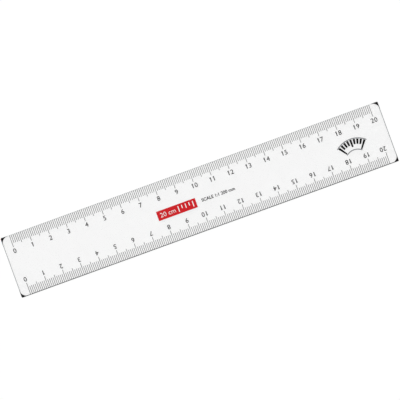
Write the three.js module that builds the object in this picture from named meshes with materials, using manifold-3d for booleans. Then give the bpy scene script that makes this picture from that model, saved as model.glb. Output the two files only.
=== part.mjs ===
// Flexible ruler, 20 cm: a thin strip of clear soft plastic with a millimetre scale stamped
// into each long edge, a printed block and four printed corners.
// Millimetres, +Z up. The origin is the middle of the underside. X runs along the scale from
// the zero end to the last mark, Y runs across from the near scale to the far scale.

import * as THREE from 'three';
import { mergeGeometries, mergeVertices } from 'three/addons/utils/BufferGeometryUtils.js';
import Module from 'manifold-3d';

// Strip
const scaleLength = 200;        // from the first mark to the last
const endMargin = 5.0;          // clear plastic beyond the first and the last mark
const stripWidth = 33.1;
const stripThickness = 1.0;
const stripCornerRadius = 0.45; // corners of the die-cut outline
const topBevel = 0.4;           // 45 degree bevel round the printed face
const edgeBreak = 0.15;         // 45 degree break round the underside, less than topBevel

// Graduations, the same on both long edges
const markPitch = 1;
const marksPerHalf = 5;         // a longer mark every 5 mm
const marksPerNumber = 10;      // the longest, which carries a number, every 10 mm
const markLength = 4.6;         // all counted from the edge
const halfMarkLength = 5.6;
const numberMarkLength = 6.6;
const markWidth = 0.25;
const markDepth = 0.08;         // the stamp presses the ink into the surface

// Print that lies on the top face
const inkThickness = 0.05;
const labelLength = 21.6;
const labelHeight = 5.1;
const labelLeftOfMiddle = 12.95;
const labelBelowMiddle = 0.8;
const cornerPrintRadius = 4.3;  // the clear arc that each black corner leaves

// Cutting
const cutOverrun = 1;           // how far a cutter runs past the face that it opens
const cornerSegments = 3;
const arcSegments = 6;

// Worked out from the sizes above
const stripLength = scaleLength + 2 * endMargin;
const halfLength = stripLength / 2;
const halfWidth = stripWidth / 2;
const markCount = Math.round(scaleLength / markPitch) + 1;

// Materials
const clearPlastic = new THREE.MeshStandardMaterial({
  name: 'clear_plastic', color: 0xf2f5f5, roughness: 0.18, metalness: 0, transparent: true, opacity: 0.45,
});
const redInk = new THREE.MeshStandardMaterial({ name: 'red_ink', color: 0xd9141e, roughness: 0.5, metalness: 0 });
const blackInk = new THREE.MeshStandardMaterial({ name: 'black_ink', color: 0x16171a, roughness: 0.55, metalness: 0 });

// Solid modelling
const wasm = await Module();
wasm.setup();

// A closed three.js geometry as a solid that can be cut
function solidOf(geometry) {
  const bare = geometry.clone();
  bare.deleteAttribute('normal');
  bare.deleteAttribute('uv');
  const merged = mergeVertices(bare);
  const mesh = new wasm.Mesh({
    numProp: 3,
    vertProperties: new Float32Array(merged.attributes.position.array),
    triVerts: new Uint32Array(merged.index.array),
  });
  return new wasm.Manifold(mesh);
}

// A solid back as a three.js geometry
function geometryOf(solid) {
  const mesh = solid.getMesh();
  const geometry = new THREE.BufferGeometry();
  geometry.setAttribute('position', new THREE.BufferAttribute(mesh.vertProperties, mesh.numProp));
  geometry.setIndex(new THREE.BufferAttribute(mesh.triVerts, 1));
  geometry.computeVertexNormals();
  return geometry;
}

// Outline of the strip: a long rectangle with rounded corners
function stripOutline() {
  const shape = new THREE.Shape();
  const arcX = halfLength - stripCornerRadius;
  const arcY = halfWidth - stripCornerRadius;
  const corners = [[arcX, arcY], [-arcX, arcY], [-arcX, -arcY], [arcX, -arcY]];
  corners.forEach(([x, y], quarter) => {
    const start = quarter * Math.PI / 2;
    shape.absarc(x, y, stripCornerRadius, start, start + Math.PI / 2, false);
  });
  return shape;
}

// A box of this size with its middle here, as a solid
function boxSolid(size, middle) {
  const box = new THREE.BoxGeometry(size.x, size.y, size.z);
  box.translate(middle.x, middle.y, middle.z);
  return solidOf(box);
}

// The blank strip. It is extruded with the same bevel above and below. Then its underside is
// planed off until only the small edge break is left there.
function stripBlank() {
  const geometry = new THREE.ExtrudeGeometry(stripOutline(), {
    depth: stripThickness - topBevel - edgeBreak,
    bevelEnabled: true,
    bevelSegments: 1,
    bevelThickness: topBevel,
    bevelSize: topBevel,
    bevelOffset: -topBevel,
    curveSegments: cornerSegments,
  });
  geometry.translate(0, 0, edgeBreak);
  const size = new THREE.Vector3(stripLength + cutOverrun, stripWidth + cutOverrun, topBevel);
  const planed = boxSolid(size, new THREE.Vector3(0, 0, -topBevel / 2));
  return solidOf(geometry).subtract(planed);
}

// Length of the mark with this number, counted from the zero mark
function lengthOfMark(index) {
  if (index % marksPerNumber === 0) return numberMarkLength;
  if (index % marksPerHalf === 0) return halfMarkLength;
  return markLength;
}

// The groove of one mark, seen from the end of the strip: out from the middle, and up. Its floor
// lies at one depth under the surface, along the flat face and then down the bevel.
function grooveProfile(length) {
  const inner = halfWidth - length;
  const bevelStart = halfWidth - topBevel;
  const outer = halfWidth + cutOverrun;
  const floor = stripThickness - markDepth;
  const above = stripThickness + cutOverrun;
  const shape = new THREE.Shape();
  shape.moveTo(inner, above);
  shape.lineTo(inner, floor);
  shape.lineTo(bevelStart, floor);
  shape.lineTo(outer, floor - (outer - bevelStart));
  shape.lineTo(outer, above);
  shape.closePath();
  return shape;
}

// The cutters that press one scale into the edge on this side: +1 the far edge, -1 the near edge
function scaleCutters(side) {
  const across = new THREE.Vector3(0, side, 0);
  const up = new THREE.Vector3(0, 0, 1);
  const along = new THREE.Vector3().crossVectors(across, up);
  const turn = new THREE.Matrix4().makeBasis(across, up, along);
  const cutters = [];
  for (let index = 0; index < markCount; index += 1) {
    const cutter = new THREE.ExtrudeGeometry(grooveProfile(lengthOfMark(index)), {
      depth: markWidth,
      bevelEnabled: false,
    });
    cutter.translate(0, 0, -markWidth / 2);
    cutter.applyMatrix4(turn);
    cutter.translate(index * markPitch - scaleLength / 2, 0, 0);
    cutters.push(cutter);
  }
  return cutters;
}

// The finished strip: blank less the two scales
function stripGeometry() {
  const cutters = mergeGeometries([...scaleCutters(1), ...scaleCutters(-1)]);
  return geometryOf(stripBlank().subtract(solidOf(cutters)));
}

// A film of ink with this outline, lying on the top face
function inkFilm(outline) {
  const film = new THREE.ExtrudeGeometry(outline, {
    depth: inkThickness,
    bevelEnabled: false,
    curveSegments: arcSegments,
  });
  film.translate(0, 0, stripThickness);
  return film;
}

// The printed block
function labelOutline() {
  const left = -labelLeftOfMiddle - labelLength / 2;
  const right = left + labelLength;
  const bottom = -labelBelowMiddle - labelHeight / 2;
  const top = bottom + labelHeight;
  const shape = new THREE.Shape();
  shape.moveTo(left, bottom);
  shape.lineTo(right, bottom);
  shape.lineTo(right, top);
  shape.lineTo(left, top);
  shape.closePath();
  return shape;
}

// The part of a corner that is printed, seen from above: everything outside an arc that faces
// the middle. sideX and sideY are +1 or -1 and say which corner it is.
function cornerArea(sideX, sideY) {
  const arcX = halfLength - cornerPrintRadius;
  const arcY = halfWidth - cornerPrintRadius;
  const outerX = halfLength + cutOverrun;
  const outerY = halfWidth + cutOverrun;
  const arc = new THREE.Path();
  arc.absarc(arcX, arcY, cornerPrintRadius, Math.PI / 2, 0, true);
  const points = [
    new THREE.Vector2(outerX, arcY),
    new THREE.Vector2(outerX, outerY),
    new THREE.Vector2(arcX, outerY),
    ...arc.getPoints(arcSegments),
  ];
  const placed = points.map((point) => new THREE.Vector2(sideX * point.x, sideY * point.y));
  if (sideX * sideY < 0) placed.reverse();
  return new THREE.Shape(placed);
}

// A black corner: ink that covers the top face and runs down the bevel. The blank, raised by
// the ink's thickness, less the blank itself is a coat of ink, and the printed area cuts it out.
function cornerFilm(sideX, sideY) {
  const blank = stripBlank();
  const coat = blank.translate(0, 0, inkThickness).subtract(blank);
  const area = new THREE.ExtrudeGeometry(cornerArea(sideX, sideY), {
    depth: stripThickness + inkThickness,
    bevelEnabled: false,
  });
  return geometryOf(coat.intersect(solidOf(area)));
}

// One named piece of the ruler
function piece(name, geometry, material) {
  const mesh = new THREE.Mesh(geometry, material.clone());
  mesh.name = name;
  return mesh;
}

// The ruler
const ruler = new THREE.Group();
ruler.name = 'flexible_ruler';
ruler.add(piece('strip', stripGeometry(), clearPlastic));
ruler.add(piece('label_block', inkFilm(labelOutline()), redInk));

const corners = [
  ['corner_print_far_left', -1, 1],
  ['corner_print_far_right', 1, 1],
  ['corner_print_near_left', -1, -1],
  ['corner_print_near_right', 1, -1],
];
for (const [name, sideX, sideY] of corners) {
  ruler.add(piece(name, cornerFilm(sideX, sideY), blackInk));
}

export default ruler;
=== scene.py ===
# %% [markdown]
# # A clear flexible ruler
#
# The object is one thin strip of clear soft plastic. Everything else on it is ink: two
# millimetre scales, their numbers, a red block, a small line of text, a bending sign and four
# black corners. The strip, the red block and the corners come from the CAD model. This lesson
# gives them their finish and prints the rest.

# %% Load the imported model
import math

import bmesh
import bpy
from mathutils import Matrix, Vector


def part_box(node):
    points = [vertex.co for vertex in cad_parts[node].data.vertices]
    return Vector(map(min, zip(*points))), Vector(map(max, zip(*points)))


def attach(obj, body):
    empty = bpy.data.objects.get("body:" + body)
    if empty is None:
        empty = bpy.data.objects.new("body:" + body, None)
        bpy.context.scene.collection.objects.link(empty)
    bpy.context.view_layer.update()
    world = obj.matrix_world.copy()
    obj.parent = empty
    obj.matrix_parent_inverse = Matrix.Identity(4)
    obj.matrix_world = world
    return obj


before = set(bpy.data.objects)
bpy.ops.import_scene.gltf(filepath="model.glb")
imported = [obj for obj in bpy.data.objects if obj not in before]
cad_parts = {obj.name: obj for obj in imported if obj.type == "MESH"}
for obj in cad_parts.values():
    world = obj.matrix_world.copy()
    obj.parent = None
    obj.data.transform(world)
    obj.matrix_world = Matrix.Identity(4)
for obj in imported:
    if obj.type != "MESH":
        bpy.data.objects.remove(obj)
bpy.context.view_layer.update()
print("CAD nodes:", sorted(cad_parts))

# %% [markdown]
# ## Sizes
#
# Blender works in metres, and a ruler is thought of in millimetres, so one name, MM, turns one
# into the other. The places of the strip and the red block could be typed in as well. They are
# read from the CAD model instead, so the print always lands on them.

# %% Sizes that the print needs
MM = 0.001
strip_low, strip_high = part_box("strip")
label_low, label_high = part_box("label_block")
half_length = strip_high.x
half_width = strip_high.y
top = strip_high.z
scale_length = 200 * MM
mark_pitch = 1 * MM
bevel = 0.4 * MM            # the 45 degree bevel round the printed face
mark_width = 0.25 * MM      # the stamped grooves that hold the ink
mark_depth = 0.08 * MM
ink = 0.03 * MM             # how thick the print lies on the surface
print("strip, mm:", [round(v / MM, 2) for v in strip_high - strip_low])

# %% [markdown]
# ## The camera
#
# The photograph looks straight down on the ruler, which rises to the right by about twenty
# degrees. An orthographic camera would keep the corners square. So does a long lens from high
# above, which is what a photographer has. The camera is turned and not the ruler, because the
# ruler has to stay where the CAD model puts it.

# %% Camera
image_side = 400            # pixels
pixels_per_mm = 1.9116
ruler_rise = math.radians(19.975)
lens = 100                  # millimetres
sensor = 36                 # millimetres
aim_right = 0.2             # pixels from the ruler's middle to the picture's, along the ruler
aim_nearer = 0.415          # and across it, towards the near scale

view_width = image_side / pixels_per_mm * MM
camera_data = bpy.data.cameras.new("camera")
camera_data.lens = lens
camera_data.sensor_width = sensor
camera = bpy.data.objects.new("camera", camera_data)
bpy.context.scene.collection.objects.link(camera)
camera.location = (
    aim_right / pixels_per_mm * MM,
    -aim_nearer / pixels_per_mm * MM,
    top + view_width * lens / sensor,
)
camera.rotation_euler = (0, 0, -ruler_rise)
bpy.context.scene.camera = camera
print("camera height, m:", round(camera.location.z, 3))

# %% [markdown]
# ## Helpers for materials
#
# Colours are picked as hex values, as in any paint program, and Blender calculates in linear
# light, so the first helper turns one into the other. The second starts an empty material. The
# third adds one node to a node tree with its settings and its links, so that a material reads
# as a list of what it is made of.

# %% Helpers for materials
def linear(hex_colour):
    """An sRGB hex colour, such as 808080, as linear red, green, blue and a full alpha."""
    channels = [int(hex_colour[i:i + 2], 16) / 255 for i in (0, 2, 4)]
    return [c / 12.92 if c <= 0.04045 else ((c + 0.055) / 1.055) ** 2.4 for c in channels] + [1]


def new_material(name):
    """An empty material and its node tree."""
    material = bpy.data.materials.new(name)
    material.use_nodes = True
    material.node_tree.nodes.clear()
    return material, material.node_tree


def add(tree, kind, settings=None, links=None):
    """Adds one node. A setting is a property or an input's value, and a link feeds an input."""
    node = tree.nodes.new(kind)
    for name, value in (settings or {}).items():
        if isinstance(name, str) and hasattr(node, name):
            setattr(node, name, value)
        else:
            node.inputs[name].default_value = value
    for name, source in (links or {}).items():
        tree.links.new(source, node.inputs[name])
    return node


print("middle grey, linear:", [round(c, 3) for c in linear("808080")])

# %% [markdown]
# ## Clear flexible PVC
#
# The strip is calendered PVC sheet, rolled between polished cylinders and then cut to size. The
# faces are glossy with a very slight waviness. The blade leaves the rim finely matt, so it
# scatters light like ground glass, and the upright wall is a pale grey. The bevels carry painted
# shade: they are painted darker than the wall to draw the dark line that light makes round a clear
# sheet, darkest on the near bevel, which faces away from the softbox, and palest on the far one.
#
# One clear shader over the whole strip would lose that line. The material is therefore two
# surfaces, clear and matt, and the matt one begins where the bevel begins.

# %% Where the rim and its wall are
flat_share = 0.9            # a face that points up or down by more than this is a flat one
wall_share = 0.1            # and by less than this, it is the upright wall


def beyond(tree, coordinate, limit):
    """1 where the size of this coordinate is more than the limit."""
    size = add(tree, "ShaderNodeMath", {"operation": "ABSOLUTE"}, {0: coordinate})
    more = add(tree, "ShaderNodeMath", {"operation": "GREATER_THAN", 1: limit},
               {0: size.outputs[0]})
    return more.outputs[0]


def rim_masks(tree, where, upright):
    """1 on the rim, on its upright wall, and along the two long sides."""
    at_end = beyond(tree, where.outputs["X"], half_length - bevel)
    at_side = beyond(tree, where.outputs["Y"], half_width - bevel)
    outside = add(tree, "ShaderNodeMath", {"operation": "MAXIMUM"}, {0: at_end, 1: at_side})
    flat = beyond(tree, upright.outputs["Z"], flat_share)
    not_wall = beyond(tree, upright.outputs["Z"], wall_share)
    rim = add(tree, "ShaderNodeMath", {"operation": "SUBTRACT", "use_clamp": True},
              {0: outside.outputs[0], 1: flat})
    wall = add(tree, "ShaderNodeMath", {"operation": "SUBTRACT", "use_clamp": True},
               {0: outside.outputs[0], 1: not_wall})
    return rim.outputs[0], wall.outputs[0], at_side


print("the rim begins, mm from the edge:", bevel / MM)

# %% Clear faces
face_tint = "F7F7F7"
pvc_ior = 1.53
wave_length = 9 * MM        # the waviness that the rollers leave
wave_relief = 0.05 * MM
haze_size = 1.5 * MM        # patches that handling has dulled a little
glossiest = 0.03            # roughness
dullest = 0.10


def clear_face(tree, place):
    """The shader of the glossy faces."""
    waves = add(tree, "ShaderNodeTexNoise", {"Scale": 1 / wave_length, "Detail": 2},
                {"Vector": place})
    bump = add(tree, "ShaderNodeBump", {"Strength": 0.25, "Distance": wave_relief},
               {"Height": waves.outputs["Fac"]})
    haze = add(tree, "ShaderNodeTexNoise", {"Scale": 1 / haze_size, "Detail": 3},
               {"Vector": place})
    gloss = add(tree, "ShaderNodeMapRange", {"To Min": glossiest, "To Max": dullest},
                {"Value": haze.outputs["Fac"]})
    clear = add(tree, "ShaderNodeBsdfPrincipled",
                {"Base Color": linear(face_tint), "IOR": pvc_ior, "Transmission Weight": 1},
                {"Roughness": gloss.outputs[0], "Normal": bump.outputs[0]})
    return clear.outputs[0]


print("face tint, linear:", round(linear(face_tint)[0], 3))

# %% Tones of the rim, with painted shade on its slopes
wall_tone = "BCC1C3"
# painted shade: the slopes are darker than the wall, and darkest on the near side, away from the
# softbox
painted_slope_shades = {"near": "5E6062", "ends": "929597", "far": "D4D6D6"}


def rim_tone(tree, where, wall, at_side):
    """The colour of the rim. A slope's colour is painted shade that goes by its side: darkest near,
    palest far.
    """
    across = add(tree, "ShaderNodeMath", {"operation": "DIVIDE", 1: half_width},
                 {0: where.outputs["Y"]})
    side = add(tree, "ShaderNodeMath", {"operation": "MULTIPLY"},
               {0: across.outputs[0], 1: at_side})
    far = add(tree, "ShaderNodeMath", {"operation": "MAXIMUM", 1: 0}, {0: side.outputs[0]})
    near = add(tree, "ShaderNodeMath", {"operation": "MULTIPLY", 1: -1, "use_clamp": True},
               {0: side.outputs[0]})
    lighter = add(tree, "ShaderNodeMix", {
        "data_type": "RGBA",
        6: linear(painted_slope_shades["ends"]),
        7: linear(painted_slope_shades["far"]),
    }, {"Factor": far.outputs[0]})
    slope = add(tree, "ShaderNodeMix", {"data_type": "RGBA", 7: linear(painted_slope_shades["near"])},
                {"Factor": near.outputs[0], 6: lighter.outputs[2]})
    tone = add(tree, "ShaderNodeMix", {"data_type": "RGBA", 7: linear(wall_tone)},
               {"Factor": wall, 6: slope.outputs[2]})
    return tone.outputs[2]


print("tones of the slopes:", painted_slope_shades)

# %% Matt rim
cut_size = 0.4 * MM         # the blade's marks are finer, and are drawn this coarse to show
cut_relief = 0.02 * MM
cut_roughness = 0.45
cut_mirror = 0.35           # how much light the cut mirrors


def matt_rim(tree, place, tone):
    """The shader of the rim, in this tone."""
    cut_marks = add(tree, "ShaderNodeTexNoise", {"Scale": 1 / cut_size, "Detail": 3},
                    {"Vector": place})
    bump = add(tree, "ShaderNodeBump", {"Strength": 0.4, "Distance": cut_relief},
               {"Height": cut_marks.outputs["Fac"]})
    matt = add(tree, "ShaderNodeBsdfPrincipled",
               {"IOR": pvc_ior, "Roughness": cut_roughness, "Specular IOR Level": cut_mirror},
               {"Base Color": tone, "Normal": bump.outputs[0]})
    return matt.outputs[0]


print("roughness of face and rim:", (glossiest, dullest), cut_roughness)

# %% [markdown]
# ## Light through the plastic
#
# On a table, a clear sheet lets nearly all light down to the paper. Cycles lets no lamp light
# through a clear shader, and the ruler would throw the shadow of a board. A third, see-through
# shader answers the shadow rays instead. Light falls in through the faces and the rim, but
# light that should leave by the rim is partly mirrored back inside. That leaves the thin shadow
# that a clear sheet has along the edges away from the lamp.

# %% Material: clear flexible PVC
tint_of_light = "FAFAFA"
tint_at_rim = "E8E9E9"


def passed_light(tree, facing, rim):
    """The shader that shadow rays meet."""
    leaving = add(tree, "ShaderNodeMath", {"operation": "SUBTRACT", 0: 1},
                  {1: facing.outputs["Backfacing"]})
    mirrored = add(tree, "ShaderNodeMath", {"operation": "MULTIPLY"},
                   {0: rim, 1: leaving.outputs[0]})
    passed = add(tree, "ShaderNodeMix", {
        "data_type": "RGBA",
        6: linear(tint_of_light),
        7: linear(tint_at_rim),
    }, {"Factor": mirrored.outputs[0]})
    clear = add(tree, "ShaderNodeBsdfTransparent", links={"Color": passed.outputs[2]})
    return clear.outputs[0]


def make_clear_pvc():
    material, tree = new_material("clear_flexible_pvc")
    place = add(tree, "ShaderNodeTexCoord").outputs["Object"]
    where = add(tree, "ShaderNodeSeparateXYZ", links={"Vector": place})
    facing = add(tree, "ShaderNodeNewGeometry")
    upright = add(tree, "ShaderNodeSeparateXYZ", links={"Vector": facing.outputs["True Normal"]})
    rim, wall, at_side = rim_masks(tree, where, upright)
    clear = clear_face(tree, place)
    matt = matt_rim(tree, place, rim_tone(tree, where, wall, at_side))
    surface = add(tree, "ShaderNodeMixShader", links={0: rim, 1: clear, 2: matt})
    ray = add(tree, "ShaderNodeLightPath")
    passed = passed_light(tree, facing, rim)
    shader = add(tree, "ShaderNodeMixShader",
                 links={0: ray.outputs["Is Shadow Ray"], 1: surface.outputs[0], 2: passed})
    add(tree, "ShaderNodeOutputMaterial", links={"Surface": shader.outputs[0]})
    return material


clear_pvc = make_clear_pvc()
print("made", clear_pvc.name)

# %% [markdown]
# ## Printing inks
#
# All the print is screen-printing ink for plastics: a thin opaque film with a soft sheen. One
# even colour would look like cut paper. Ink pressed through a fine mesh dries slightly uneven,
# so its colour and its sheen wander a little, over a grain of about a third of a millimetre.
# The mesh itself is too fine to show. The black is the mattest of them, because the soot in it
# takes the gloss from its surface.

# %% Materials: inks
ink_ior = 1.5
ink_grain = 0.35 * MM
ink_relief = 0.01 * MM
sheen_spread = 0.08         # how far the roughness wanders to either side


def make_ink(name, colour, lighter, roughness, mirror):
    """An ink film that wanders between two close colours. Mirror is how much light it mirrors."""
    material, tree = new_material(name)
    place = add(tree, "ShaderNodeTexCoord")
    grain = add(tree, "ShaderNodeTexNoise", {"Scale": 1 / ink_grain, "Detail": 4},
                {"Vector": place.outputs["Object"]})
    shade = add(tree, "ShaderNodeMix", {"data_type": "RGBA", 6: linear(colour), 7: linear(lighter)},
                {"Factor": grain.outputs["Fac"]})
    sheen = add(tree, "ShaderNodeMapRange",
                {"To Min": roughness - sheen_spread, "To Max": roughness + sheen_spread},
                {"Value": grain.outputs["Fac"]})
    bump = add(tree, "ShaderNodeBump", {"Strength": 0.3, "Distance": ink_relief},
               {"Height": grain.outputs["Fac"]})
    film = add(tree, "ShaderNodeBsdfPrincipled", {"IOR": ink_ior, "Specular IOR Level": mirror},
               {"Base Color": shade.outputs[2], "Roughness": sheen.outputs[0],
                "Normal": bump.outputs[0]})
    add(tree, "ShaderNodeOutputMaterial", links={"Surface": film.outputs[0]})
    return material


black_ink = make_ink("black_screen_ink", "060708", "0E0F10", 0.5, 0.12)
red_ink = make_ink("red_screen_ink", "C60D17", "D0131D", 0.45, 0.25)
white_ink = make_ink("white_screen_ink", "F4F4F2", "FBFBFA", 0.5, 0.25)
grey_ink = make_ink("grey_screen_ink", "77797C", "838588", 0.5, 0.25)
print("inks:", [m.name for m in (black_ink, red_ink, white_ink, grey_ink)])

# %% [markdown]
# ## Dress the pieces that the CAD model already has
#
# The strip, the red block and the corners are already solid pieces of the right shape and in
# the right place. Making them again here could only move them, so they keep their meshes and
# only their material changes: the strip becomes clear, the block red and the corners black.

# %% Dress the CAD pieces
def dress(node_name, material):
    """Gives a piece of the CAD model this material."""
    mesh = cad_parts[node_name].data
    mesh.materials.clear()
    mesh.materials.append(material)


dress("strip", clear_pvc)
dress("label_block", red_ink)
corner_names = [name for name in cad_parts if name.startswith("corner_print")]
for name in corner_names:
    dress(name, black_ink)
print("dressed the strip, the block and", len(corner_names), "corners")

# %% [markdown]
# ## Finish a printed piece
#
# The rest of the print is made here, and each piece of it ends the same way: its mesh gets a
# name and a material, and it rides on the ruler's only body. Three small helpers keep that the
# same for all of them.

# %% Helpers for printed pieces
def new_object(name, data):
    """An object in the scene that holds this mesh, curve or lamp."""
    piece = bpy.data.objects.new(name, data)
    bpy.context.scene.collection.objects.link(piece)
    return piece


def plain_mesh(piece):
    """The piece as its modifiers leave it, as a mesh of its own. The piece itself is deleted."""
    bpy.context.view_layer.update()
    evaluated = piece.evaluated_get(bpy.context.evaluated_depsgraph_get())
    mesh = bpy.data.meshes.new_from_object(evaluated)
    bpy.data.objects.remove(piece)
    return mesh


def keep(name, mesh, material):
    """Makes the mesh a finished piece of the ruler."""
    mesh.materials.clear()
    mesh.materials.append(material)
    piece = new_object(name, mesh)
    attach(piece, "root")
    print(name, len(mesh.polygons), "faces")


# %% [markdown]
# ## Rows of marks with Geometry Nodes
#
# A scale is one short bar repeated two hundred and one times, with a longer bar every fifth
# and the longest every tenth. A loop could place the bars one by one. Geometry Nodes are made
# for it: a line of points, one bar on each, and a length that depends on the point's number.
# The sizes are inputs with names, so the same tree also draws the small white scale on the red
# block and the marks of the bending sign.

# %% Inputs of the tree
row_inputs = {
    "Geometry": ["Geometry"],
    "Int": ["Count", "Per half", "Per number"],
    "Float": ["Pitch", "Mark", "Half mark", "Number mark", "Width", "Height", "Edge", "Bottom"],
    "Bool": ["Both edges"],
    "Material": ["Material"],
}


def new_row_tree():
    """A tree with these inputs and nothing in it yet."""
    tree = bpy.data.node_groups.new("row_of_marks", "GeometryNodeTree")
    for kind, names in row_inputs.items():
        for name in names:
            tree.interface.new_socket(name, in_out="INPUT", socket_type="NodeSocket" + kind)
    tree.interface.new_socket("Geometry", in_out="OUTPUT", socket_type="NodeSocketGeometry")
    return tree


print("inputs:", sum(len(names) for names in row_inputs.values()))


# %% A line of points, and a length for each
def line_of_points(tree, size):
    """One point for each mark, along X, the middle of the line at zero."""
    steps = add(tree, "ShaderNodeMath", {"operation": "SUBTRACT", 1: 1}, {0: size["Count"]})
    span = add(tree, "ShaderNodeMath", {"operation": "MULTIPLY"},
               {0: steps.outputs[0], 1: size["Pitch"]})
    left = add(tree, "ShaderNodeMath", {"operation": "MULTIPLY", 1: -0.5}, {0: span.outputs[0]})
    start = add(tree, "ShaderNodeCombineXYZ", links={"X": left.outputs[0]})
    step = add(tree, "ShaderNodeCombineXYZ", links={"X": size["Pitch"]})
    line = add(tree, "GeometryNodeMeshLine", {"mode": "OFFSET"},
               {"Count": size["Count"], "Start Location": start.outputs[0],
                "Offset": step.outputs[0]})
    return line.outputs[0]


def length_by_number(tree, size):
    """The length of each mark, which follows from its number."""
    number = add(tree, "GeometryNodeInputIndex")
    length = size["Mark"]
    for every, longer in (("Per half", "Half mark"), ("Per number", "Number mark")):
        rest = add(tree, "ShaderNodeMath", {"operation": "FLOORED_MODULO"},
                   {0: number.outputs[0], 1: size[every]})
        due = add(tree, "ShaderNodeMath", {"operation": "LESS_THAN", 1: 0.5},
                  {0: rest.outputs[0]})
        chosen = add(tree, "GeometryNodeSwitch", {"input_type": "FLOAT"},
                     {"Switch": due.outputs[0], "False": length, "True": size[longer]})
        length = chosen.outputs[0]
    return length


# %% A bar on each point
def bars_on(tree, size, points, length):
    """Bars that reach in from the edge and stand on the bottom of their groove."""
    half_back = add(tree, "ShaderNodeMath", {"operation": "MULTIPLY", 1: -0.5}, {0: length})
    inward = add(tree, "ShaderNodeMath", {"operation": "ADD"},
                 {0: half_back.outputs[0], 1: size["Edge"]})
    half_height = add(tree, "ShaderNodeMath", {"operation": "MULTIPLY", 1: 0.5},
                      {0: size["Height"]})
    lift = add(tree, "ShaderNodeMath", {"operation": "ADD"},
               {0: half_height.outputs[0], 1: size["Bottom"]})
    offset = add(tree, "ShaderNodeCombineXYZ",
                 links={"Y": inward.outputs[0], "Z": lift.outputs[0]})
    placed = add(tree, "GeometryNodeSetPosition",
                 links={"Geometry": points, "Offset": offset.outputs[0]})
    bar = add(tree, "GeometryNodeMeshCube", {"Size": (1, 1, 1), "Vertices Y": 3})
    bar_size = add(tree, "ShaderNodeCombineXYZ",
                   links={"X": size["Width"], "Y": length, "Z": size["Height"]})
    bars = add(tree, "GeometryNodeInstanceOnPoints",
               links={"Points": placed.outputs[0], "Instance": bar.outputs[0],
                      "Scale": bar_size.outputs[0]})
    return bars.outputs[0]


# %% Build the tree
def mark_row_tree():
    """The tree for a row of marks. The other edge has the same row, turned half round."""
    tree = new_row_tree()
    size = add(tree, "NodeGroupInput").outputs
    row = bars_on(tree, size, line_of_points(tree, size), length_by_number(tree, size))
    turned = add(tree, "GeometryNodeTransform", {"Rotation": (0, 0, math.pi)},
                 {"Geometry": row})
    both = add(tree, "GeometryNodeJoinGeometry")
    tree.links.new(turned.outputs[0], both.inputs[0])
    tree.links.new(row, both.inputs[0])
    rows = add(tree, "GeometryNodeSwitch", {"input_type": "GEOMETRY"},
               {"Switch": size["Both edges"], "False": row, "True": both.outputs[0]})
    real = add(tree, "GeometryNodeRealizeInstances", links={"Geometry": rows.outputs[0]})
    inked = add(tree, "GeometryNodeSetMaterial",
                links={"Geometry": real.outputs[0], "Material": size["Material"]})
    add(tree, "NodeGroupOutput", links={"Geometry": inked.outputs[0]})
    return tree


def mark_rows(sizes):
    """The mesh that the tree makes with these sizes."""
    holder = new_object("marks", bpy.data.meshes.new("marks"))
    modifier = holder.modifiers.new("marks", "NODES")
    modifier.node_group = row_of_marks
    for socket in row_of_marks.interface.items_tree:
        if socket.name in sizes:
            modifier[socket.identifier] = sizes[socket.name]
    return plain_mesh(holder)


row_of_marks = mark_row_tree()
print("tree:", row_of_marks.name, "with", len(row_of_marks.nodes), "nodes")

# %% [markdown]
# ## The ink in the two scales
#
# The marks are stamped: each is a shallow groove with ink in it. Marks painted on by a texture
# would be flat and soft at their edges, so solid bars fill the grooves of the CAD strip, with a
# little to spare on each side. The grooves run on down the bevel to the rim. Each bar has a
# joint half way, so its joint is moved to the start of the bevel and its outer end is bent down.

# %% Ink the scales
mark = 4.6 * MM             # lengths counted from the edge, as in the CAD model
half_mark = 5.6 * MM
number_mark = 6.6 * MM
groove_play = 0.01 * MM     # between the ink and the walls and the bottom of its groove
groove_bottom = top - mark_depth + groove_play
ink_top = top - groove_play
past_joints = 0.8 * mark    # the joints lie nearer to the edge than this, the inner ends farther

scale_mesh = mark_rows({
    "Count": round(scale_length / mark_pitch) + 1,
    "Per half": 5,
    "Per number": 10,
    "Pitch": mark_pitch,
    "Mark": mark - groove_play,
    "Half mark": half_mark - groove_play,
    "Number mark": number_mark - groove_play,
    "Width": mark_width - 2 * groove_play,
    "Height": ink_top - groove_bottom,
    "Edge": half_width,
    "Bottom": groove_bottom,
    "Both edges": True,
    "Material": black_ink,
})
for vertex in scale_mesh.vertices:
    side = math.copysign(1, vertex.co.y)
    from_edge = half_width - abs(vertex.co.y)
    if from_edge < groove_play:
        vertex.co.y = side * (half_width - groove_play)
        vertex.co.z -= bevel - groove_play
    elif from_edge < past_joints:
        vertex.co.y = side * (half_width - bevel)
keep("scale_marks", scale_mesh, black_ink)

# %% [markdown]
# ## Digits
#
# The numbers of a ruler are plain, upright and a little bold. Blender's own font is much like
# them, so its digits are used, a little bolder. Two digits are drawn here instead: the font's 1
# is a bare bar, and the hole of its 4 closes when it is made bolder. Each digit becomes a flat
# mesh one unit high that stands on the line, and is made only once.

# %% Flat letters and outlines
def flat_letter(text, bolder=0):
    """The text in Blender's own font as a flat mesh. Bolder widens each stroke on both sides."""
    curve = bpy.data.curves.new("letter", "FONT")
    curve.body = text
    curve.resolution_u = 4
    curve.offset = bolder
    return plain_mesh(new_object("letter", curve))


def flat_outline(*outlines):
    """Closed outlines as one flat mesh, facing up. Each is one face."""
    mesh = bpy.data.meshes.new("outline")
    sheet = bmesh.new()
    for points in outlines:
        sheet.faces.new([sheet.verts.new((x, y, 0)) for x, y in points])
    sheet.to_mesh(mesh)
    sheet.free()
    return mesh


def reach(mesh, axis):
    """The lowest and the highest coordinate of a mesh along one axis."""
    values = [v.co[axis] for v in mesh.vertices]
    return min(values), max(values)


cap_height = reach(flat_letter("H"), 1)[1]
print("capital height of the font:", round(cap_height, 3))

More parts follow.
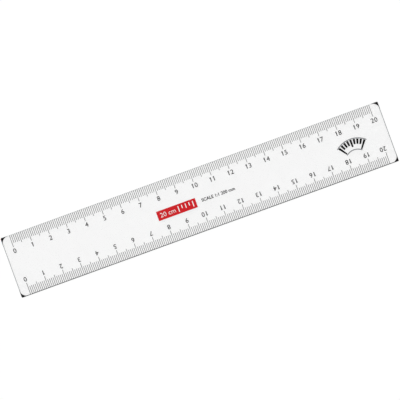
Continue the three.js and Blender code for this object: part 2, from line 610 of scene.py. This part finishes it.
# %% The digit 1, all in shares of its height
stem = 0.19
flag_reach = 0.12           # how far the flag stands out to the left of the stem
flag_drop = 0.16            # from the top down to the flag's tip
flag_weight = 0.17          # the height of the tip
flag_root = 0.1785          # from the top down to where the flag's underside meets the stem
slope_run = 0.038           # how far the flag's upper side runs on over the stem

one_outline = [
    (flag_reach, 0),
    (flag_reach + stem, 0),
    (flag_reach + stem, 1),
    (flag_reach + slope_run, 1),
    (0, 1 - flag_drop),
    (0, 1 - flag_drop - flag_weight),
    (flag_reach, 1 - flag_root),
]
print("the 1 has", len(one_outline), "points")

# %% The digit 4, all in shares of its height
# Its hole lies between two faces that meet along the left side of the stem
four_width = 0.69
stem_left = 0.415
stem_right = 0.585
bar_low = 0.315
bar_high = 0.465
elbow = 0.4                 # where the slanting stroke starts, on the left
shoulder = 0.9              # where its outer side meets the stem
hole_left = 0.24
hole_top = 0.69
apex = stem_left + (1 - shoulder) * stem_left / (shoulder - elbow)

slanting_stroke = [
    (0, bar_low),
    (stem_left, bar_low),
    (stem_left, bar_high),
    (hole_left, bar_high),
    (stem_left, hole_top),
    (stem_left, shoulder),
    (0, elbow),
]
upright_stroke = [
    (stem_left, 0),
    (stem_right, 0),
    (stem_right, bar_low),
    (four_width, bar_low),
    (four_width, bar_high),
    (stem_right, bar_high),
    (stem_right, 1),
    (apex, 1),
    (stem_left, shoulder),
    (stem_left, hole_top),
    (stem_left, bar_high),
    (stem_left, bar_low),
]
print("the 4 has", len(slanting_stroke) + len(upright_stroke), "points")

# %% Every digit once
digit_bolder = 0.0105       # each side of a stroke, in the font's own units


def digit(text):
    """One digit as a flat mesh with a height of 1, standing on the line."""
    if text == "1":
        return flat_outline(one_outline)
    if text == "4":
        return flat_outline(slanting_stroke, upright_stroke)
    mesh = flat_letter(text, digit_bolder)
    height = cap_height + 2 * digit_bolder
    mesh.transform(Matrix.Translation((0, digit_bolder, 0)))
    mesh.transform(Matrix.Diagonal((1 / height, 1 / height, 1, 1)))
    return mesh


digits = {text: digit(text) for text in "0123456789"}
print("made", len(digits), "digits")

# %% Set a number
digit_advance = 0.755       # the width of a digit's cell, as a share of its height
one_left = 0.06             # how far the 1 stands left of the middle of its cell


def flat_number(text, height):
    """A number as one flat mesh, its middle at the origin."""
    number = bmesh.new()
    for place, figure in enumerate(text):
        low, high = reach(digits[figure], 0)
        cell_middle = (place - (len(text) - 1) / 2) * digit_advance
        if figure == "1":
            cell_middle -= one_left
        copy = digits[figure].copy()
        copy.transform(Matrix.Translation((cell_middle - (low + high) / 2, -0.5, 0)))
        number.from_mesh(copy)
    mesh = bpy.data.meshes.new("number")
    number.to_mesh(mesh)
    number.free()
    mesh.transform(Matrix.Diagonal((height, height, 1, 1)))
    return mesh


print("a cell is", digit_advance, "of a digit's height wide")

# %% Give flat print its thickness
merge_distance = 0.001 * MM # points closer than this become one


def printed(name, flat_meshes, bottom, material, thickness=ink):
    """Makes flat meshes one finished piece of print that lies on this height."""
    sheet = bmesh.new()
    for mesh in flat_meshes:
        sheet.from_mesh(mesh)
    bmesh.ops.remove_doubles(sheet, verts=sheet.verts, dist=merge_distance)
    bmesh.ops.dissolve_degenerate(sheet, edges=sheet.edges, dist=merge_distance)
    joined = bpy.data.meshes.new(name)
    sheet.to_mesh(joined)
    sheet.free()
    holder = new_object(name + "_flat", joined)
    solid = holder.modifiers.new("thickness", "SOLIDIFY")
    solid.thickness = thickness
    solid.offset = 1
    mesh = plain_mesh(holder)
    mesh.transform(Matrix.Translation((0, 0, bottom)))
    keep(name, mesh, material)


# %% [markdown]
# ## Numbers of both scales
#
# The far scale reads upright. The near scale belongs to someone who turns the ruler round, so
# its numbers stand on their heads, yet both count from the left. Two loops could print the two
# rows. One is enough, because each number of the near row is a copy of the far one, turned half
# round. The last number of the near row is drawn in a little from its mark, as on the real ruler.

# %% Print the numbers
number_pitch = 10 * mark_pitch
last_number = round(scale_length / number_pitch)
number_height = 2.42 * MM
number_middle = 7.95 * MM   # from the ruler's middle line to that of a row
last_near_shift = -0.85 * MM

flat_numbers = []
for number in range(last_number + 1):
    x = number * number_pitch - scale_length / 2
    upright = flat_number(str(number), number_height)
    turned = upright.copy()
    upright.transform(Matrix.Translation((x, number_middle, 0)))
    shift = last_near_shift if number == last_number else 0
    place = Matrix.Translation((x + shift, -number_middle, 0))
    turned.transform(place @ Matrix.Rotation(math.pi, 4, "Z"))
    flat_numbers += [upright, turned]
printed("scale_numbers", flat_numbers, top, black_ink)

# %% [markdown]
# ## Words
#
# The red block carries the scale's length and a short white scale, and a small line right of
# it says how the ruler counts. Words can be drawn, or typed in a font. They are typed here, in
# the same font as the digits and with the font's own 1. White print on red looks bolder than it
# is, so it is set a little thinner, and small black print looks paler, so it is set bolder.

# %% Print the words
label_ink = 0.005 * MM      # thinner, because the red block is already the ruler's highest piece
label_word_height = 2.4 * MM
label_word_indent = 1.6 * MM
label_word_bolder = -0.004
small_word_height = 1.6 * MM
small_word_left = 0.8 * MM
small_word_middle = -0.65 * MM
small_word_bolder = 0.026


def flat_words(text, height, left, middle, bolder):
    """A line of words as a flat mesh, from this left end and on this middle line."""
    mesh = flat_letter(text, bolder)
    factor = height / cap_height
    mesh.transform(Matrix.Diagonal((factor, factor, 1, 1)))
    low = reach(mesh, 0)[0]
    mesh.transform(Matrix.Translation((left - low, middle - height / 2, 0)))
    return mesh


label_middle = (label_low.y + label_high.y) / 2
label_words = flat_words("20 cm", label_word_height, label_low.x + label_word_indent,
                         label_middle, label_word_bolder)
printed("label_words", [label_words], label_high.z, white_ink, label_ink)

small_words = flat_words("SCALE 1:1 200 mm", small_word_height, small_word_left,
                         small_word_middle, small_word_bolder)
printed("small_words", [small_words], top, black_ink)

# %% White scale on the red block
label_scale_inset = 5.8 * MM    # from the block's right end to the middle of the scale
label_scale_drop = 1.0 * MM     # from the block's far edge to the marks

label_scale = mark_rows({
    "Count": 5,
    "Per half": 2,
    "Per number": 4,
    "Pitch": 2 * MM,
    "Mark": 1.8 * MM,
    "Half mark": 2.4 * MM,
    "Number mark": 3.1 * MM,
    "Width": 0.45 * MM,
    "Height": label_ink,
    "Edge": 0,
    "Bottom": label_high.z,
    "Both edges": False,
    "Material": white_ink,
})
label_scale_place = (label_high.x - label_scale_inset, label_high.y - label_scale_drop, 0)
label_scale.transform(Matrix.Translation(label_scale_place))
keep("label_scale", label_scale, white_ink)

# %% [markdown]
# ## The bending sign
#
# Near the last mark the ruler says that it bends: a little ruler drawn as an arch, two grey arcs
# with black marks between them. Each mark could be turned into its place. Instead, the row comes
# from the same tree as the scales, straight, and is then bent: the distance along the row
# becomes an angle round the arch. The marks narrow towards its middle, as bent ones would.

# %% Sizes of the sign
sign_middle = Vector((84.7 * MM, -0.75 * MM))
sign_marks = 9
sign_pitch = 1.9 * MM
sign_mark_width = 1.25 * MM
arch_radius = 12.0 * MM     # to the outer ends of the marks
arch_depth = 5.2 * MM       # the length of the longest marks
arc_weight = 0.5 * MM
arc_play = 0.1 * MM         # between an arc and the ends of the longest marks
arc_steps = 32

row_length = (sign_marks - 1) * sign_pitch
half_angle = row_length / 2 / arch_radius
arch_height = arch_radius - (arch_radius - arch_depth) * math.cos(half_angle)
arch_foot = sign_middle.y + arch_height / 2 - arch_radius
print("the arch spans, degrees:", round(2 * math.degrees(half_angle)))


# %% Bend flat print into an arch
def bent(mesh):
    """Bends a straight drawing, its outer edge on the X axis, round a point below it."""
    for vertex in mesh.vertices:
        angle = vertex.co.x / arch_radius
        radius = arch_radius + vertex.co.y
        vertex.co.x = sign_middle.x + radius * math.sin(angle)
        vertex.co.y = arch_foot + radius * math.cos(angle)
    return mesh


def flat_line(length, middle):
    """A straight line along X as a flat mesh with enough points to bend."""
    xs = [(i / arc_steps - 0.5) * length for i in range(arc_steps + 1)]
    upper = [(x, middle + arc_weight / 2) for x in xs]
    lower = [(x, middle - arc_weight / 2) for x in xs]
    return flat_outline(lower + upper[::-1])


# %% Draw the sign
marks = mark_rows({
    "Count": sign_marks,
    "Per half": 4,
    "Per number": 8,
    "Pitch": sign_pitch,
    "Mark": 2.8 * MM,
    "Half mark": 4.0 * MM,
    "Number mark": arch_depth,
    "Width": sign_mark_width,
    "Height": ink,
    "Edge": 0,
    "Bottom": top,
    "Both edges": False,
    "Material": black_ink,
})
keep("sign_marks", bent(marks), black_ink)

arc_middle = arc_weight / 2 + arc_play      # from the marks' ends to an arc's middle line
arc_length = row_length + sign_pitch
arcs = [bent(flat_line(arc_length, middle)) for middle in (arc_middle, -arch_depth - arc_middle)]
printed("sign_arcs", arcs, top, grey_ink)

# %% [markdown]
# ## Floor and light
#
# The photograph is a product picture on pure white. A white floor under soft light is never
# quite white in a render, and more light would bleach the ruler too. So the rays that are seen
# meet a floor that shines a little by itself, and the rays that light the ruler don't: it is lit
# as on any pale table.
#
# The sky is soft studio light, and one wide softbox at the far left gives the edges their
# direction. The mirror image of a softbox in clear plastic drowns the print wherever it falls,
# and a photographer takes it out with a polarising filter. Here the mirrored rays pass the
# softbox by.

# %% Which rays are seen
def seen_rays(tree):
    """1 for a ray that the eye sees, also through or off the plastic, and 0 for one that lights."""
    ray = add(tree, "ShaderNodeLightPath")
    mirrored = add(tree, "ShaderNodeMath", {"operation": "MAXIMUM"},
                   {0: ray.outputs["Is Camera Ray"], 1: ray.outputs["Is Glossy Ray"]})
    clear = add(tree, "ShaderNodeMath", {"operation": "MAXIMUM"},
                {0: mirrored.outputs[0], 1: ray.outputs["Is Transmission Ray"]})
    direct = add(tree, "ShaderNodeMath", {"operation": "LESS_THAN", 1: 0.5},
                 {0: ray.outputs["Diffuse Depth"]})
    seen = add(tree, "ShaderNodeMath", {"operation": "MULTIPLY"},
               {0: clear.outputs[0], 1: direct.outputs[0]})
    return seen.outputs[0]


# %% Floor
floor_side = 4              # metres
floor_gap = 0.02 * MM       # keeps the ruler's underside and the floor apart
floor_share = 0.9           # how much of the light the floor sends back
floor_glow = 1.05           # a little over white, to make up for what the paint lacks
even_share = 0.8            # how much of the seen floor is even white, without shadows


def make_floor():
    material, tree = new_material("white_floor")
    paint = add(tree, "ShaderNodeBsdfDiffuse", {"Color": [floor_share] * 3 + [1]})
    white = add(tree, "ShaderNodeEmission", {"Strength": floor_glow})
    part = add(tree, "ShaderNodeMath", {"operation": "MULTIPLY", 1: even_share},
               {0: seen_rays(tree)})
    both = add(tree, "ShaderNodeMixShader",
               links={0: part.outputs[0], 1: paint.outputs[0], 2: white.outputs[0]})
    add(tree, "ShaderNodeOutputMaterial", links={"Surface": both.outputs[0]})
    return material


half_floor = floor_side / 2
floor_corners = [(-1, -1), (1, -1), (1, 1), (-1, 1)]
floor_points = [(x * half_floor, y * half_floor, -floor_gap) for x, y in floor_corners]
floor_mesh = bpy.data.meshes.new("floor")
floor_mesh.from_pydata(floor_points, [], [(0, 1, 2, 3)])
floor_mesh.materials.append(make_floor())
floor = new_object("floor", floor_mesh)
print("floor, m:", floor_side)

# %% Sky
sky_strength = 0.70         # for the rays that light the ruler. The sky that is seen is white

world = bpy.data.worlds.new("studio")
world.use_nodes = True
world.node_tree.nodes.clear()
sky_level = add(world.node_tree, "ShaderNodeMapRange", {"To Min": sky_strength, "To Max": 1},
                {"Value": seen_rays(world.node_tree)})
sky = add(world.node_tree, "ShaderNodeBackground", {"Color": linear("FFFFFF")},
          {"Strength": sky_level.outputs[0]})
add(world.node_tree, "ShaderNodeOutputWorld", links={"Surface": sky.outputs[0]})
bpy.context.scene.world = world
print("sky:", sky_strength)

# %% Softbox
lamp_side = 3.2             # metres
lamp_distance = 2.5         # metres
lamp_power = 36.0           # watts
lamp_height = math.radians(45)
lamp_turn = math.radians(115)

lamp_data = bpy.data.lights.new("softbox", "AREA")
lamp_data.shape = "SQUARE"
lamp_data.size = lamp_side
lamp_data.energy = lamp_power
lamp = new_object("softbox", lamp_data)
lamp.visible_glossy = False
lamp_direction = Vector((
    math.cos(lamp_turn) * math.cos(lamp_height),
    math.sin(lamp_turn) * math.cos(lamp_height),
    math.sin(lamp_height),
))
lamp.location = lamp_direction * lamp_distance
lamp.rotation_euler = lamp_direction.to_track_quat("Z", "Y").to_euler()

bpy.context.scene.view_settings.view_transform = "Standard"
print("softbox at", [round(v, 2) for v in lamp.location])
